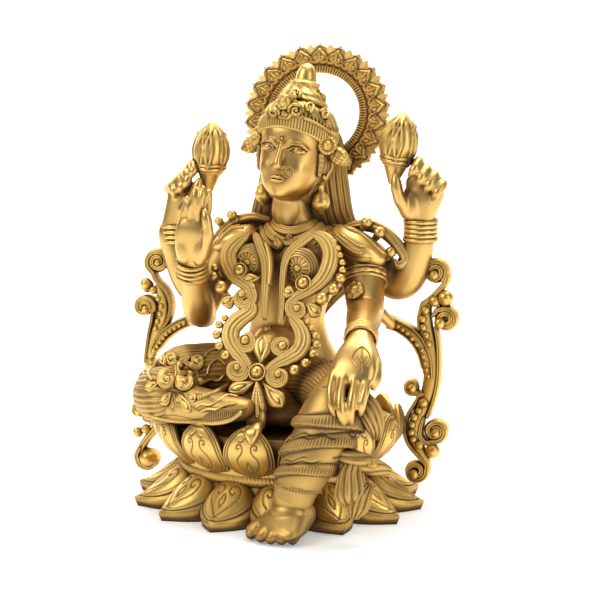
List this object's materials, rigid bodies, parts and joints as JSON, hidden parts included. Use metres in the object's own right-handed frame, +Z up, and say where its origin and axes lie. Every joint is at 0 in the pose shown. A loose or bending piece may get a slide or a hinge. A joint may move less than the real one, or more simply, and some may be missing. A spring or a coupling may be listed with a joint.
{
  "type": "seated goddess figure on a lotus base",
  "caption": "Cast brass four-armed goddess seated on a double lotus, one foot down, holding lotus buds, with a petalled halo behind the head and beaded scrolls at both sides.",
  "frame": {"origin": "middle of the lotus base's flat underside, on the surface that it stands on", "axes": "+Z up, the figure faces -Y, +X to the figure's left"},
  "size_m": [0.2893, 0.236, 0.3805],
  "materials": {
    "lotus_brass": "cast, satin polished on the raised parts, dark residue in the engraved lines",
    "figure_brass": "cast, polished bright on skin, duller on the chased cloth and jewellery, brown residue in the hollows",
    "halo_brass": "cast, satin polished on the raised parts, dark residue in the hollows",
    "scroll_brass": "cast, satin polished on the raised parts, dark residue in the hollows"
  },
  "bodies": {
    "root": {"lotus_base": "lotus_brass", "goddess": "figure_brass", "halo": "halo_brass", "scroll_right": "scroll_brass", "scroll_left": "scroll_brass"}
  },
  "joints": []
}
